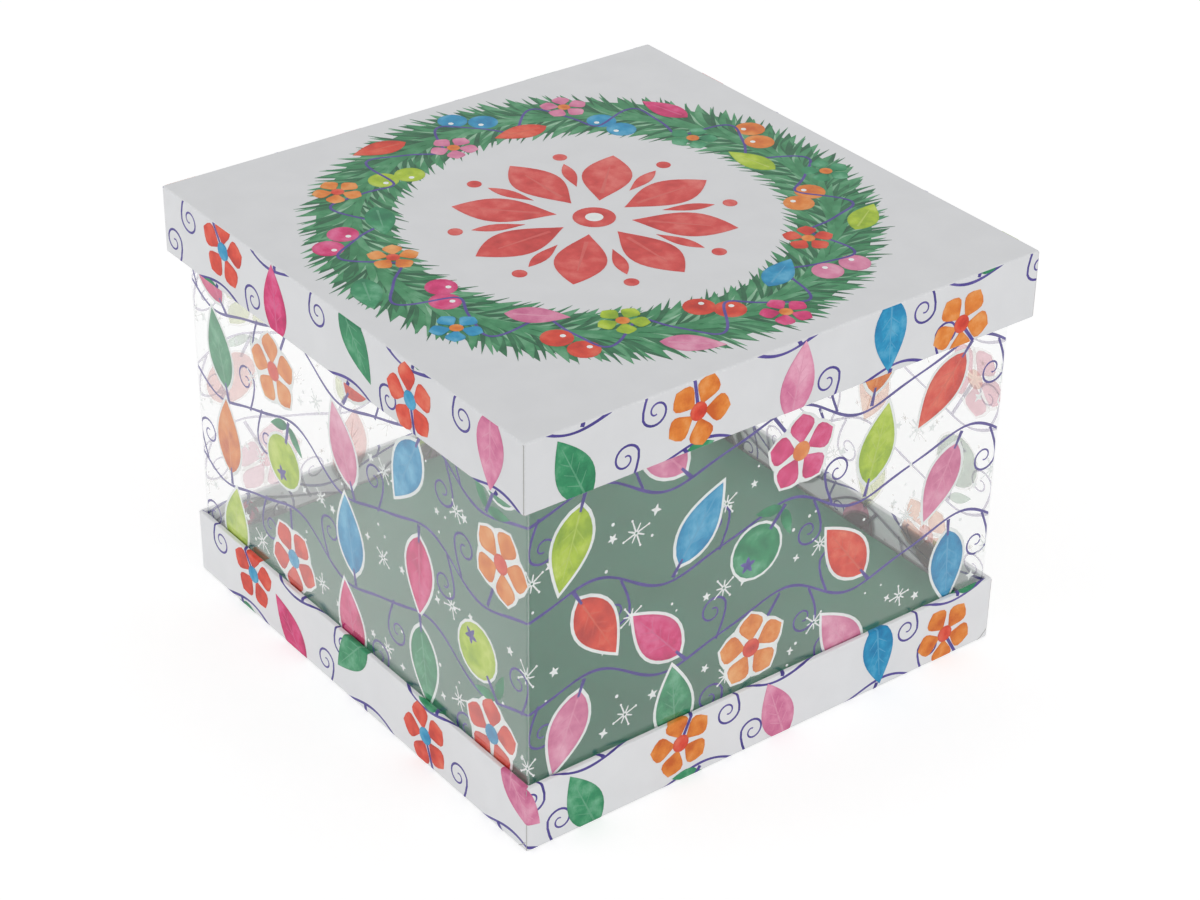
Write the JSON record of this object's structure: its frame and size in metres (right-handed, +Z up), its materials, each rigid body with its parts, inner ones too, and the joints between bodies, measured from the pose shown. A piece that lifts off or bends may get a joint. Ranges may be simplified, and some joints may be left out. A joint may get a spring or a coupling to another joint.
{
  "type": "gift box with clear sleeve",
  "caption": "Square gift box: a wrapped board lid and shallow base in printed paper, joined by a tall clear printed film sleeve round a raised floor.",
  "frame": {"origin": "middle of the underside, on the surface that the box stands on", "axes": "+Z up through the lid, along the way it lifts; +X and +Y square to the walls; the sleeve's seam is at the -X +Y corner"},
  "size_m": [0.23, 0.23, 0.1707],
  "materials": {
    "greyboard": "unbleached grey board",
    "stay_tape": "gummed kraft tape",
    "printed_paper": "satin art paper, printed",
    "plain_paper": "uncoated white",
    "green_paper": "satin green paper",
    "clear_film": "clear PET film",
    "clear_tape": "clear adhesive tape"
  },
  "bodies": {
    "base": {"base_board": "greyboard", "base_corner_stays": "stay_tape", "base_wrap": "printed_paper", "base_bottom_sheet": "plain_paper", "floor_board": "greyboard", "floor_cover": "green_paper", "floor_risers": "greyboard", "clear_sleeve": "clear_film", "sleeve_seam_tape": "clear_tape", "sleeve_foot_tapes": "clear_tape"},
    "lid": {"lid_board": "greyboard", "lid_corner_stays": "stay_tape", "lid_wrap": "printed_paper", "lid_liner": "plain_paper"}
  },
  "joints": [
    {"name": "lid_lift", "type": "slide", "parent": "base", "child": "lid", "axis": [0, 0, 1], "range_m": [0, 0.06]}
  ]
}
